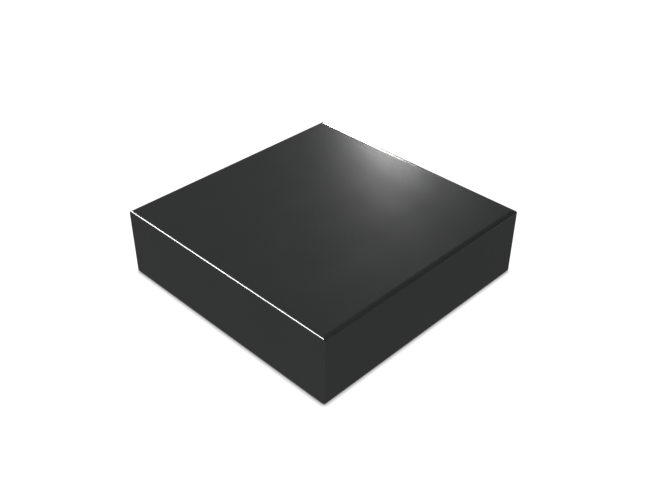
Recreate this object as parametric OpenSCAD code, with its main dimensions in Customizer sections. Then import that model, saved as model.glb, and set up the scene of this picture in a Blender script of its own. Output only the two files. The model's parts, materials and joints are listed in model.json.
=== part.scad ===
// Square streaming media player: a one-piece black housing over a base plate,
// with a rear panel of sockets, a passively cooled main board and four rubber feet.
// The front faces -Y, the sockets face +Y, and z = 0 is the surface it stands on.

/* [Housing] */
// Width and depth of the square housing
body_w = 100; // [98:1:112]
// Height of the housing, from its bottom rim to its top face
body_h = 27; // [26:0.5:34]
// Wall thickness of the housing
wall = 2; // [1.8:0.1:2.2]
// Radius of the housing's top edges
edge_r = 1.1; // [0.8:0.1:1.6]
// Radius of the housing's upright edges
corner_r = 0.7; // [0.5:0.1:1.6]
// Gap between the housing's rim and the surface it stands on
rim_gap = 0.6; // [0.4:0.1:0.8]

/* [Base] */
// Thickness of the base plate
base_t = 2; // [1.8:0.1:2.2]
// Radius of each rubber foot
foot_r = 5; // [4:0.5:5]
// Distance of each foot and housing screw from the centre lines
corner_pos = 41; // [40:0.5:41.5]
// Number of vent slots in each field of the base plate
base_vents = 15; // [7:2:17]

/* [Main board] */
// Height of the board's underside above the table
board_z = 6; // [5.8:0.1:6.4]
// Thickness of the board
board_t = 1.6; // [1.2:0.2:1.6]

/* [Heat sink] */
// Number of fins on the heat sink
fins = 12; // [8:1:14]
// Height of the fins
fin_h = 8.4; // [6:0.2:9]

/* [Controls] */
// Travel of the reset button and of its switch
button_travel = 0.4; // [0.25:0.05:0.5]
// Radius of the reset button's cap
button_r = 2; // [1.5:0.1:2.2]

/* [Hidden] */
$fn = 48;
eps = 0.01;

// Heights
half_w = body_w / 2;
top_z = rim_gap + body_h;
ceiling_z = top_z - wall;
base_z = rim_gap + 0.4;
base_top = base_z + base_t;
board_top = board_z + board_t;
inner_half = half_w - wall;

// Base plate and what is fixed to it
base_half = inner_half - 0.15;
foot_recess = 0.8;
foot_h = base_z + foot_recess;
screw_head_r = 2.1;
screw_head_h = 1.3;
screw_r = 1.0;
screw_pilot_r = 1.03;
base_boss_top = 5;
screw_seat_z = foot_h + screw_head_h + 0.1;
board_posts = [[-41, -26], [41, -26], [-41, 22], [41, 22]];
label_size = [44, 18];
label_t = 0.15;

// Rear panel
panel_half = 44;
panel_top = 23;
panel_face = half_w - 0.6;
panel_back = half_w - 3.1;
panel_flange = 1;
window_gap = 0.15;

// Sockets, from left to right as X grows
port_face = panel_face - 0.2;
port_gap = 0.25;
dc_x = -32;
button_x = -23.8;
hdmi_x = -12.4;
optical_x = 1;
usb_x = 13.4;
ethernet_x = 28.4;

// Main board
board_half = 45;
board_rear = 45.5;
board_notch = 37.2;
board_hole_r = 1.15;
board_post_r = 2.6;

// Processor area
chip_x = -2;
chip_y = 2;
shield_w = 34;
shield_h = 2.25;
shield_t = 0.25;
processor_w = 14;
processor_h = 1.2;
lid_top = board_top + shield_h + shield_t;
sink_z = lid_top + 1;
sink_base = 2;
sink_size = [46, 40];
pin_spots = [[chip_x - 19.3, chip_y - 16.5], [chip_x + 19.3, chip_y + 16.5]];
pin_ear = 7.4;
pin_rise = 3.4;
spreader_t = 0.8;

// Front of the board
led_x = 22;
receiver_x = 12;

// Reset button and the switch behind it
button_z = board_top + 3;
switch_front = 44.6;
plunger_r = 1.2;
plunger_out = button_travel + 0.6;
touch_gap = 0.05;

// Optical socket's shutter
optical_w = 9.7;
shutter_axis_y = -1.35;
shutter_axis_z = 7.9;
shutter_pin_r = 0.45;

// Colours
c_housing = [0.045, 0.046, 0.047];
c_matte = [0.07, 0.07, 0.072];
c_rubber = [0.11, 0.11, 0.11];
c_steel = [0.72, 0.73, 0.74];
c_aluminium = [0.78, 0.79, 0.8];
c_gold = [0.83, 0.65, 0.3];
c_mask = [0.02, 0.09, 0.06];
c_chip = [0.06, 0.06, 0.065];
c_pad = [0.55, 0.63, 0.72];
c_insert = [0.09, 0.09, 0.095];

// ---- shapes used more than once ----

// A box centred on X and Y, standing on z = 0
module slab(w, d, h) {
    translate([-w / 2, -d / 2, 0])
        cube([w, d, h]);
}

// A rectangle with round corners, as true arcs
module rounded_rect(w, d, r) {
    square([w - 2 * r, d], center = true);
    square([w, d - 2 * r], center = true);
    for (sx = [-1, 1], sy = [-1, 1])
        translate([sx * (w / 2 - r), sy * (d / 2 - r)])
            circle(r);
}

module rounded_slab(w, d, h, r) {
    linear_extrude(h)
        rounded_rect(w, d, r);
}

// A slot with round ends, along X, centred
module slot(length, width) {
    square([length - width, width], center = true);
    for (s = [-1, 1])
        translate([s * (length - width) / 2, 0])
            circle(width / 2);
}

// A cylinder along +Y from y = 0
module rod_y(r, length) {
    rotate([-90, 0, 0])
        cylinder(r = r, h = length);
}

// The same child at the four corners
module at_corners(p) {
    for (sx = [-1, 1], sy = [-1, 1])
        translate([sx * p, sy * p, 0])
            children();
}

// A socket's place: its mouth at y = 0 and the board's top at z = 0
module at_port(x) {
    translate([x, port_face, board_top])
        children();
}

// An outline in X and Z, extruded from y = -depth to y = 0
module facing_rear(depth) {
    rotate([90, 0, 0])
        linear_extrude(depth)
            children();
}

// A packaged chip: a substrate with a slightly smaller moulded body on it
module chip(w, d, h) {
    slab(w, d, h * 0.35);
    translate([0, 0, h * 0.35])
        slab(w - 0.6, d - 0.6, h * 0.65);
}

// Points on a smooth curve through route, steps to each span
function curve_point(a, b, c, d, t) =
    0.5 * ((2 * b) + (c - a) * t + (2 * a - 5 * b + 4 * c - d) * t * t
        + (3 * b - a - 3 * c + d) * t * t * t);
function smooth_route(p, steps) =
    let (n = len(p) - 1)
    concat(
        [for (i = [0 : n - 1], k = [0 : steps - 1])
            curve_point(p[max(i - 1, 0)], p[i], p[i + 1], p[min(i + 2, n)], k / steps)],
        [p[n]]
    );
function unit(v) = v / norm(v);
function heading(p, i) = unit(p[min(i + 1, len(p) - 1)] - p[max(i - 1, 0)]);
// Directions across the route at each point, each carried over from the one before
function carried(p, i, last) = unit(last - (last * heading(p, i)) * heading(p, i));
function across(p, i, found) =
    i == len(p) ? found
    : across(p, i + 1, concat([for (f = found) f],
        [carried(p, i, i == 0 ? [0.31, 0.27, 0.91] : found[i - 1])]));

// A closed tube along points
module tube(points, r, sides) {
    n = len(points);
    u = across(points, 0, []);
    rings = [for (i = [0 : n - 1], k = [0 : sides - 1])
        let (v = cross(heading(points, i), u[i]), a = 360 * k / sides)
        points[i] + r * (cos(a) * u[i] + sin(a) * v)];
    walls = [for (i = [0 : n - 2], k = [0 : sides - 1])
        let (j = (k + 1) % sides)
        [(i + 1) * sides + k, (i + 1) * sides + j, i * sides + j, i * sides + k]];
    ends = [
        [for (k = [0 : sides - 1]) k],
        [for (k = [sides - 1 : -1 : 0]) (n - 1) * sides + k]
    ];
    polyhedron(points = rings, faces = concat(walls, ends));
}

// Points of a coil about Z
function coil_points(r, pitch, turns, per_turn) =
    [for (i = [0 : turns * per_turn])
        let (a = 360 * i / per_turn)
        [r * cos(a), r * sin(a), pitch * i / per_turn]];

// ---- housing, base and rear panel ----

// The housing's outer form: each prism rounds the edges along one axis
module housing_form() {
    intersection() {
        translate([0, 0, rim_gap])
            rounded_slab(body_w, body_w, body_h, corner_r);
        for (turn = [0, 90])
            rotate(turn)
                round_topped_prism();
    }
}

// A prism along Y whose two top edges are round
module round_topped_prism() {
    translate([0, half_w + 1, top_z - body_h])
        facing_rear(body_w + 2)
            rounded_rect(body_w, 2 * body_h, edge_r);
}

module top_housing() {
    boss_r = 3;
    boss_z = base_boss_top + 0.1;
    rib_t = 1.2;
    ceiling_rib = 1.5;
    ledge = 1.2;
    color(c_housing) {
        difference() {
            housing_form();
            translate([0, 0, rim_gap - 1])
                rounded_slab(2 * inner_half, 2 * inner_half, ceiling_z - rim_gap + 1, 0.8);
            // the rear window, open at its bottom
            translate([-panel_half - window_gap, inner_half - 1, rim_gap - 1])
                cube([2 * (panel_half + window_gap), wall + 2, panel_top + window_gap - rim_gap + 1]);
            // the thinned spot that the status light shines through
            translate([led_x - 1.7, -half_w + 1, board_top - 0.2])
                cube([3.4, wall, 3]);
        }
        // screw bosses, tied to the side walls
        difference() {
            union() {
                at_corners(corner_pos)
                    translate([0, 0, boss_z])
                        cylinder(r = boss_r, h = ceiling_z - boss_z);
                for (sx = [-1, 1], sy = [-1, 1])
                    translate([sx * (corner_pos + inner_half) / 2, sy * corner_pos, boss_z + 3])
                        slab(inner_half - corner_pos, rib_t, ceiling_z - boss_z - 3);
            }
            at_corners(corner_pos)
                translate([0, 0, boss_z - 1])
                    cylinder(r = screw_pilot_r, h = 12);
        }
        // stiffening ribs under the top face
        for (s = [-1, 1]) {
            translate([s * 29, 0, ceiling_z - ceiling_rib])
                slab(rib_t, 60, ceiling_rib);
            translate([0, s * 29, ceiling_z - ceiling_rib])
                slab(58 - rib_t, rib_t, ceiling_rib);
        }
        // two clips that hold the rear panel's flange against the rear wall
        for (s = [-1, 1])
            translate([s * 20, panel_back - 0.1 - rib_t / 2, panel_top])
                slab(8, rib_t, ceiling_z - panel_top);
        // the ledge that the base plate rests against, on three sides
        for (s = [-1, 1])
            translate([s * (inner_half - ledge / 2), -4, base_top])
                slab(ledge, 70, 1.2);
        translate([0, -inner_half + ledge / 2, base_top])
            slab(70, ledge, 1.2);
    }
}

module base_plate() {
    rear_cut = panel_back - 0.15;
    vent_pitch = 3.2;
    color(c_matte)
        difference() {
            union() {
                translate([0, 0, base_z])
                    rounded_slab(2 * base_half, 2 * base_half, base_t, 0.7);
                at_corners(corner_pos)
                    translate([0, 0, base_z])
                        cylinder(r = 4.6, h = base_boss_top - base_z);
                for (p = board_posts)
                    translate([p[0], p[1], base_z])
                        cylinder(r = board_post_r, h = board_z - base_z);
                // two ribs that keep the heat spreader in place
                for (s = [-1, 1])
                    translate([s * 36.7, 0, base_top - eps])
                        slab(1, 40, 0.8);
            }
            // room for the rear panel
            translate([-panel_half - window_gap, rear_cut, 0])
                cube([2 * (panel_half + window_gap), 10, 10]);
            at_corners(corner_pos) {
                translate([0, 0, base_z - 1])
                    cylinder(r = foot_r + 0.05, h = foot_recess + 1);
                translate([0, 0, base_z])
                    cylinder(r = screw_head_r + 0.15, h = screw_seat_z - base_z);
                cylinder(r = screw_r + 0.2, h = 10);
            }
            for (p = board_posts)
                translate([p[0], p[1], base_z + 1])
                    cylinder(r = screw_pilot_r, h = 10);
            // vent slots, in a field near the front and one near the rear
            for (side = [-1, 1], i = [0 : base_vents - 1])
                translate([(i - (base_vents - 1) / 2) * vent_pitch, side * 33, base_z - 1])
                    linear_extrude(base_t + 2)
                        rotate(90)
                            slot(12, 1.4);
            // the label's shallow pocket
            translate([0, 0, base_z - eps])
                rounded_slab(label_size[0] + 0.3, label_size[1] + 0.3, 0.25, 1.2);
        }
}

module foot(sx, sy) {
    color(c_rubber)
        translate([sx * corner_pos, sy * corner_pos, 0]) {
            difference() {
                cylinder(r = foot_r, h = foot_h);
                // a shallow ring groove in the sole
                translate([0, 0, -1])
                    difference() {
                        cylinder(r = foot_r - 1.2, h = 1.2);
                        cylinder(r = foot_r - 1.9, h = 1.2);
                    }
            }
        }
}

// A pan-head screw from z = 0 upwards, with a cross recess in its head
module screw_up(head_r, head_h, r, length) {
    difference() {
        union() {
            cylinder(r = head_r, h = head_h);
            cylinder(r = r, h = length);
        }
        for (a = [0, 90])
            rotate(a)
                translate([0, 0, -eps])
                    slab(head_r * 1.2, 0.45, head_h * 0.55);
    }
}

module housing_screws() {
    color(c_steel)
        at_corners(corner_pos)
            translate([0, 0, screw_seat_z - screw_head_h])
                screw_up(screw_head_r, screw_head_h, screw_r, 12);
}

module rating_label() {
    color([0.16, 0.16, 0.165])
        translate([0, 0, base_z + 0.24 - label_t])
            rounded_slab(label_size[0], label_size[1], label_t, 1);
}

// The openings of the rear panel, as one outline in X and Z measured from the board's top
module port_openings() {
    translate([dc_x, dc_axis_z])
        circle(dc_collar_r + port_gap);
    translate([button_x, button_z - board_top])
        circle(button_r + 0.08);
    translate([hdmi_x, 0])
        polygon(hdmi_outline(hdmi_t + port_gap));
    translate([optical_x, optical_w / 2])
        square(optical_w + 2 * port_gap, center = true);
    translate([usb_x, usb_lift + usb_h / 2])
        square([usb_w + 2 * (usb_t + port_gap), usb_h + 2 * (usb_t + port_gap)], center = true);
    translate([ethernet_x, ethernet_h / 2])
        square([ethernet_w + 2 * port_gap, ethernet_h + 2 * port_gap], center = true);
}

module rear_panel() {
    flange_z = base_top + 0.2;
    flange_half = 46;
    flange_top = panel_top + 1.4;
    vents = 17;
    color(c_matte)
        difference() {
            union() {
                translate([-panel_half, panel_back, rim_gap])
                    cube([2 * panel_half, panel_face - panel_back, panel_top - rim_gap]);
                translate([-flange_half, panel_back, flange_z])
                    cube([2 * flange_half, panel_flange, flange_top - flange_z]);
            }
            translate([0, panel_face + 1, board_top])
                facing_rear(panel_face - panel_back + 2)
                    port_openings();
            // a row of vent slots above the low sockets
            translate([0, panel_face + 1, 0])
                facing_rear(panel_face - panel_back + 2)
                    for (i = [0 : vents - 1])
                        translate([-24 + i * 2.5, 20.2])
                            rotate(90)
                                slot(3, 1.1);
        }
}

// ---- main board and what it carries ----

module main_board() {
    color(c_mask)
        translate([0, 0, board_z])
            linear_extrude(board_t)
                difference() {
                    translate([-board_half, -board_half])
                        square([2 * board_half, board_half + board_rear]);
                    for (sx = [-1, 1], sy = [-1, 1])
                        translate([sx * (board_notch + 10), sy * (board_notch + 10)])
                            square(20, center = true);
                    for (p = board_posts)
                        translate(p)
                            circle(board_hole_r);
                    for (p = pin_spots)
                        translate(p)
                            circle(1.6);
                }
}

// A screw from above, its head's underside at z = 0
module screw_down(head_r, head_h, r, length) {
    rotate([180, 0, 0])
        translate([0, 0, -head_h])
            screw_up(head_r, head_h, r, length + head_h);
}

module board_screws() {
    color(c_steel)
        for (p = board_posts)
            translate([p[0], p[1], board_top])
                screw_down(2, 1.2, screw_r, 5);
}

module heat_spreader() {
    color(c_aluminium)
        translate([0, 0, base_top])
            difference() {
                rounded_slab(72, 44, spreader_t, 1.5);
                for (p = pin_spots)
                    translate([p[0], p[1], -1])
                        cylinder(r = 2.5, h = 3);
            }
}

module board_thermal_pad() {
    color(c_pad)
        translate([chip_x, chip_y, base_top + spreader_t])
            slab(18, 18, board_z - base_top - spreader_t);
}

module at_chip(x, y) {
    translate([chip_x + x, chip_y + y, board_top])
        children();
}

module processor() {
    color(c_chip)
        at_chip(0, 0)
            chip(processor_w, processor_w, processor_h);
}

module memory_chips() {
    color(c_chip)
        for (s = [-1, 1])
            at_chip(s * 12, 0)
                chip(8, 12, 1);
}

module flash_chip() {
    color(c_chip)
        at_chip(0, -12)
            chip(11.5, 8.6, 1);
}

module power_chip() {
    color(c_chip)
        at_chip(-7, 12)
            chip(6, 6, 0.9);
}

module shield_frame() {
    window = shield_w - 4;
    color(c_steel)
        at_chip(0, 0)
            difference() {
                slab(shield_w, shield_w, shield_h);
                translate([0, 0, -1])
                    slab(shield_w - 2 * shield_t, shield_w - 2 * shield_t, shield_h - shield_t + 1);
                slab(window, window, shield_h + 1);
            }
}

module shield_lid() {
    skirt = 1.4;
    outer = shield_w + 2 * (shield_t + 0.05);
    color(c_steel)
        at_chip(0, 0)
            difference() {
                translate([0, 0, shield_h - skirt])
                    slab(outer, outer, skirt + shield_t);
                translate([0, 0, -1])
                    slab(shield_w + 0.1, shield_w + 0.1, shield_h + 1);
                // the ventilating holes round the rim
                for (i = [-6 : 6], s = [-1, 1]) {
                    translate([i * 2.4, s * 15.2, 0])
                        cylinder(r = 0.5, h = 5);
                    translate([s * 15.2, i * 2, 0])
                        cylinder(r = 0.5, h = 5);
                }
            }
}

module processor_thermal_pad() {
    color(c_pad)
        at_chip(0, 0)
            translate([0, 0, processor_h])
                slab(13, 13, shield_h - processor_h);
}

module lid_thermal_pad() {
    color(c_pad)
        at_chip(0, 0)
            translate([0, 0, shield_h + shield_t])
                slab(26, 26, sink_z - lid_top);
}

module heat_sink() {
    fin_t = 1.1;
    pitch = (sink_size[0] - fin_t) / (fins - 1);
    color(c_aluminium)
        translate([chip_x, chip_y, sink_z])
            difference() {
                union() {
                    slab(sink_size[0], sink_size[1], sink_base);
                    for (i = [0 : fins - 1])
                        translate([(i - (fins - 1) / 2) * pitch, 0, sink_base - eps])
                            slab(fin_t, sink_size[1], fin_h + eps);
                }
                // two corners without fins, each with a hole for a spring pin
                for (p = pin_spots)
                    translate([p[0] - chip_x, p[1] - chip_y, 0]) {
                        translate([0, 0, sink_base])
                            slab(pin_ear, pin_ear, fin_h + 1);
                        translate([0, 0, -1])
                            cylinder(r = 1.5, h = 10);
                    }
            }
}

module heat_sink_pins() {
    barb_h = 1.1;
    color([0.85, 0.85, 0.83])
        for (p = pin_spots)
            translate([p[0], p[1], 0]) {
                translate([0, 0, board_z - barb_h])
                    cylinder(r = 1.25, h = sink_z + sink_base + pin_rise + 1 - board_z + barb_h);
                translate([0, 0, board_z - barb_h])
                    cylinder(r1 = 1.3, r2 = 2, h = barb_h);
                translate([0, 0, sink_z + sink_base + pin_rise])
                    cylinder(r = 2.7, h = 1);
            }
}

module heat_sink_springs() {
    wire_r = 0.22;
    turns = 4;
    coil_r = 2;
    color(c_steel)
        for (p = pin_spots)
            translate([p[0], p[1], sink_z + sink_base + wire_r + 0.02])
                tube(coil_points(coil_r, (pin_rise - 2 * wire_r - 0.04) / turns, turns, 12), wire_r, 6);
}

// ---- wireless, infrared and status light ----

module_x = -30;
module_y = -30;
cable_r = 0.565;
plug_z = board_top + 2;
plug_left = [-35, -25.4, plug_z];
plug_right = [-25, -25.4, plug_z];
antenna_t = 0.4;
antenna_y = -14;
antenna_z = 14;

module wireless_module() {
    color([0.03, 0.12, 0.2])
        translate([module_x, module_y, board_top])
            slab(16, 14, 0.8);
    color(c_steel)
        translate([module_x, module_y - 1.8, board_top + 0.8])
            rounded_slab(15, 9.6, 1.4, 0.6);
    // the two coaxial sockets
    color(c_gold)
        for (p = [plug_left, plug_right])
            translate([p[0], p[1], board_top + 0.8])
                cylinder(r = 1, h = 0.6);
}

// A stamped antenna on the inner face of a side wall: s = -1 left, 1 right
module antenna(s) {
    face = inner_half - antenna_t - 0.05;
    color(c_gold)
        translate([s > 0 ? face : -face - antenna_t, antenna_y, antenna_z])
            difference() {
                translate([0, -16, -4])
                    cube([antenna_t, 32, 8]);
                for (i = [0 : 2])
                    translate([-1, -11 + i * 8, i % 2 == 0 ? -4.5 : -1.5])
                        cube([2, 2.2, 6]);
            }
}

route_left = [
    plug_left + [-1, 0, 0], plug_left + [-3, 0.3, 0.4], [-41, -22, 12.6],
    [-44.5, -18, 13.8], [-46.6, -14, 14], [-46.95, -10, 14]
];
route_right = [
    plug_right + [1, 0, 0], plug_right + [3, -0.3, 0.2], [-17, -29, 9.8], [-10, -36, 9],
    [0, -39, 8.4], [16, -39, 8.4], [28, -38.5, 8.4], [36, -35, 10], [42, -28, 13],
    [45.5, -20, 14], [46.6, -14, 14], [46.95, -10, 14]
];

// A coaxial lead with its press-on plug over the module's socket
module antenna_cable(route, plug) {
    color([0.12, 0.12, 0.12])
        tube(smooth_route(route, 5), cable_r, 8);
    color(c_gold)
        translate([plug[0], plug[1], board_top + 1.4])
            cylinder(r = 1.3, h = 1.25);
}

module infrared_receiver() {
    front = -45;
    lens_r = 2.2;
    color(c_chip)
        translate([receiver_x, 0, board_top]) {
            translate([0, front + 1.5, 0])
                slab(5.6, 3, 6.6);
            // the lens, narrowing towards its front
            translate([0, front - 1.2, 4])
                rod_y(lens_r, 1.3);
            translate([0, front - 2.2, 4])
                rotate([-90, 0, 0])
                    cylinder(r1 = lens_r / 2, r2 = lens_r, h = 1);
        }
    color(c_steel)
        for (i = [-1, 0, 1])
            translate([receiver_x + i * 1.6, front + 3.4, board_top])
                slab(0.5, 0.8, 2.6);
}

module status_led() {
    color([0.9, 0.9, 0.85])
        translate([led_x, -41.9, board_top])
            slab(3, 1, 1.6);
}

module light_pipe() {
    color([0.85, 0.87, 0.88])
        translate([led_x, -45.55, board_top])
            slab(2.8, 6.2, 2.4);
}

// ---- power, network and small parts ----

module ethernet_transformer() {
    color(c_chip)
        translate([ethernet_x, 25, board_top])
            slab(12.6, 7, 5);
    color(c_steel)
        for (s = [-1, 1], i = [-3.5 : 3.5])
            translate([ethernet_x + i * 1.3, 25 + s * 4.05, board_top])
                slab(0.5, 1.1, 0.6);
}

module ethernet_chip() {
    color(c_chip)
        translate([ethernet_x, 14, board_top])
            chip(6, 6, 0.9);
}

module inductors() {
    spots = [[-33, 29.5], [-33, 21.4], [-33, 13.3]];
    for (p = spots)
        translate([p[0], p[1], board_top]) {
            color([0.2, 0.2, 0.2])
                rounded_slab(7, 7, 3.2, 1);
            color(c_steel)
                for (s = [-1, 1])
                    translate([s * 3.7, 0, 0])
                        slab(0.4, 3, 1.2);
        }
}

module bulk_capacitors() {
    spots = [[-24.6, 29.6], [-16.4, 29.6], [-8.2, 29.6]];
    for (p = spots)
        translate([p[0], p[1], board_top]) {
            color([0.08, 0.08, 0.08])
                slab(6.6, 6.6, 1);
            color(c_aluminium)
                translate([0, 0, 1])
                    difference() {
                        cylinder(r = 3.15, h = 6);
                        translate([0, 0, 0.9])
                            difference() {
                                cylinder(r = 4, h = 0.5);
                                cylinder(r = 2.95, h = 0.5);
                            }
                    }
        }
}

module crystals() {
    color(c_steel)
        for (p = [[8, 14], [ethernet_x - chip_x, 4], [module_x + 13 - chip_x, -34 - chip_y]])
            at_chip(p[0], p[1])
                rounded_slab(3.2, 2.5, 0.8, 0.5);
}

// Resistors and capacitors in rows, where the board is otherwise free
module surface_mount_parts() {
    fields = [
        // centre x, centre y, columns, rows
        [30, -8, 7, 5], [31, -22, 6, 4], [-31, 0, 6, 6], [-32, -14, 6, 3],
        [4, 28, 6, 2], [14, 28, 3, 3], [-8, -26, 7, 3], [12, -28, 6, 3]
    ];
    for (f = fields, i = [0 : f[2] - 1], j = [0 : f[3] - 1])
        translate([
            f[0] + (i - (f[2] - 1) / 2) * 2.1,
            f[1] + (j - (f[3] - 1) / 2) * 1.9,
            board_top
        ]) {
            color((i + j) % 3 == 0 ? [0.1, 0.1, 0.1] : [0.55, 0.42, 0.3])
                slab(0.9, 0.8, (i + 2 * j) % 3 == 0 ? 0.6 : 0.45);
            color(c_steel)
                for (s = [-1, 1])
                    translate([s * 0.6, 0, 0])
                        slab(0.3, 0.8, 0.4);
        }
}

// ---- power jack ----

dc_axis_z = 6.5;
dc_collar_r = 4;
dc_bore_r = 2.85;
dc_bore_depth = 9.5;
dc_pin_r = 1.05;
dc_shank_r = 0.85;
dc_pin_end = 1.8;
dc_depth = 13.5;

module dc_jack_body() {
    collar = 2.8;
    color(c_insert)
        at_port(dc_x)
            difference() {
                union() {
                    translate([-4.5, -dc_depth, 0])
                        cube([9, dc_depth - collar, 11]);
                    translate([0, -collar - 1, dc_axis_z])
                        rod_y(dc_collar_r, collar + 1);
                }
                translate([0, -dc_bore_depth, dc_axis_z])
                    rod_y(dc_bore_r, dc_bore_depth + 1);
                // the seat of the pin's shank
                translate([0, -dc_depth - 1, dc_axis_z])
                    rod_y(dc_shank_r + 0.01, 6);
                // the sleeve contact's slot, below the bore
                translate([-1.3, -dc_bore_depth, 1])
                    cube([2.6, 6, 4]);
            }
}

module dc_jack_pin() {
    color(c_steel)
        at_port(dc_x)
            translate([0, 0, dc_axis_z]) {
                translate([0, -dc_depth, 0])
                    rod_y(dc_shank_r, dc_depth - dc_bore_depth + 1);
                translate([0, -dc_bore_depth, 0])
                    rod_y(dc_pin_r, dc_bore_depth - dc_pin_end);
                translate([0, -dc_pin_end, 0])
                    rotate([-90, 0, 0])
                        cylinder(r1 = dc_pin_r, r2 = dc_pin_r / 2, h = 0.6);
            }
}

module dc_jack_spring() {
    color(c_steel)
        at_port(dc_x)
            translate([0, -dc_bore_depth + 0.2, 1.2])
                rotate([18, 0, 0])
                    translate([-1.1, 0, 0])
                        cube([2.2, 5.4, 0.3]);
}

// ---- HDMI-size socket ----

hdmi_t = 0.35;
hdmi_lift = 0.5;
hdmi_depth = 11;

// The socket's inner outline in X and Z, grown by g
function hdmi_outline(g) = [
    [-7 - g, hdmi_lift + 4.55 + g + hdmi_t], [7 + g, hdmi_lift + 4.55 + g + hdmi_t],
    [7 + g, hdmi_lift + 2 - g * 0.4 + hdmi_t], [5 + g * 0.4, hdmi_lift - g + hdmi_t],
    [-5 - g * 0.4, hdmi_lift - g + hdmi_t], [-7 - g, hdmi_lift + 2 - g * 0.4 + hdmi_t]
];

module hdmi_shell() {
    color(c_steel)
        at_port(hdmi_x) {
            difference() {
                facing_rear(hdmi_depth)
                    polygon(hdmi_outline(hdmi_t));
                translate([0, 1, 0])
                    facing_rear(hdmi_depth + 2)
                        polygon(hdmi_outline(0));
                // windows of the two spring fingers on top
                for (s = [-1, 1])
                    translate([s * 3.4 - 1, -6, hdmi_lift + 4])
                        cube([2, 4, 3]);
            }
            // spring fingers, held at the rear of their windows
            for (s = [-1, 1])
                translate([s * 3.4 - 0.75, -6.2, hdmi_lift + 4.55 + hdmi_t])
                    rotate([-5, 0, 0])
                        cube([1.5, 3.4, 0.25]);
            // mounting tabs down to the board
            for (s = [-1, 1], y = [-3.4, -8.6])
                translate([s * (7 + hdmi_t / 2), y, 0])
                    slab(hdmi_t, 1.2, 3);
        }
}

hdmi_tongue_z = hdmi_lift + hdmi_t + 1.75;
hdmi_tongue_t = 1.5;

module hdmi_tongue() {
    color(c_insert)
        at_port(hdmi_x) {
            translate([0, -hdmi_depth + 3, 0])
                facing_rear(3)
                    polygon(hdmi_outline(-0.02));
            translate([-5.6, -hdmi_depth + 3 - eps, hdmi_tongue_z])
                cube([11.2, 6.6, hdmi_tongue_t]);
        }
}

module hdmi_contacts() {
    pitch = 1;
    contact_t = 0.1;
    color(c_gold)
        at_port(hdmi_x)
            for (i = [0 : 9]) {
                translate([(i - 4.5) * pitch, -5, hdmi_tongue_z + hdmi_tongue_t])
                    slab(0.5, 5.6, contact_t);
                if (i < 9)
                    translate([(i - 4) * pitch, -5, hdmi_tongue_z - contact_t])
                        slab(0.5, 5.6, contact_t);
            }
}

// ---- USB-size socket ----

usb_w = 12.5;
usb_h = 5.12;
usb_t = 0.32;
usb_lift = 0.62;
usb_depth = 13;
usb_tongue_z = usb_lift + 2.75;
usb_tongue_t = 1.84;

module usb_shell() {
    color(c_steel)
        at_port(usb_x) {
            difference() {
                translate([-usb_w / 2 - usb_t, -usb_depth, usb_lift - usb_t])
                    cube([usb_w + 2 * usb_t, usb_depth, usb_h + 2 * usb_t]);
                translate([-usb_w / 2, -usb_depth - 1, usb_lift])
                    cube([usb_w, usb_depth + 2, usb_h]);
                // windows of the spring fingers, two above and two below
                for (s = [-1, 1])
                    translate([s * 3 - 1.1, -7.4, usb_lift - 1])
                        cube([2.2, 4.6, usb_h + 2]);
            }
            for (s = [-1, 1]) {
                translate([s * 3 - 0.8, -7.6, usb_lift + usb_h])
                    rotate([-5, 0, 0])
                        cube([1.6, 4, 0.25]);
                translate([s * 3 - 0.8, -7.6, usb_lift - 0.25])
                    rotate([5, 0, 0])
                        cube([1.6, 4, 0.25]);
                translate([s * (usb_w + usb_t) / 2, -9.5, 0])
                    slab(usb_t, 2, 2);
            }
        }
}

module usb_tongue() {
    color([0.92, 0.92, 0.9])
        at_port(usb_x) {
            translate([-usb_w / 2 + 0.02, -usb_depth, usb_lift + 0.02])
                cube([usb_w - 0.04, 3, usb_h - 0.04]);
            translate([-5.55, -usb_depth + 3 - eps, usb_tongue_z])
                cube([11.1, 8.8, usb_tongue_t]);
        }
}

module usb_contacts() {
    color(c_gold)
        at_port(usb_x)
            for (x = [-3.5, -1, 1, 3.5])
                translate([x, -6, usb_tongue_z - 0.12])
                    slab(1, 7, 0.12);
}

// ---- optical socket with its shutter ----

optical_depth = 13.5;
optical_cavity = [7.4, 9, 7.8];
optical_floor = 0.9;
optical_mouth = [6.4, 6];
optical_axis_z = 4.2;
shutter_w = 7.1;
shutter_front = 0.5;
shutter_back = 0.4;
shutter_h = 6.75;

module optical_body() {
    lip = 0.6;
    color(c_insert)
        at_port(optical_x)
            difference() {
                translate([-optical_w / 2, -optical_depth, 0])
                    cube([optical_w, optical_depth, optical_w]);
                // the cavity behind the lip, and the mouth through it
                translate([-optical_cavity[0] / 2, -lip - optical_cavity[1], optical_floor])
                    cube([optical_cavity[0], optical_cavity[1], optical_cavity[2]]);
                translate([-optical_mouth[0] / 2, -2, optical_axis_z - optical_mouth[1] / 2])
                    cube([optical_mouth[0], 4, optical_mouth[1]]);
                // bearings of the shutter's pin
                translate([-optical_w / 2 + 0.25, shutter_axis_y, shutter_axis_z])
                    rotate([0, 90, 0])
                        cylinder(r = shutter_pin_r + 0.05, h = optical_w - 0.5);
                // the emitter's seat
                translate([0, -optical_depth + 1, optical_axis_z])
                    rod_y(1.25, 4);
            }
}

module optical_emitter() {
    color([0.5, 0.08, 0.07])
        at_port(optical_x)
            translate([0, -optical_depth + 1, optical_axis_z]) {
                rod_y(1.22, 3.9);
                translate([0, 3.9, 0])
                    rotate([-90, 0, 0])
                        cylinder(r1 = 1.22, r2 = 0.7, h = 0.6);
            }
}

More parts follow.
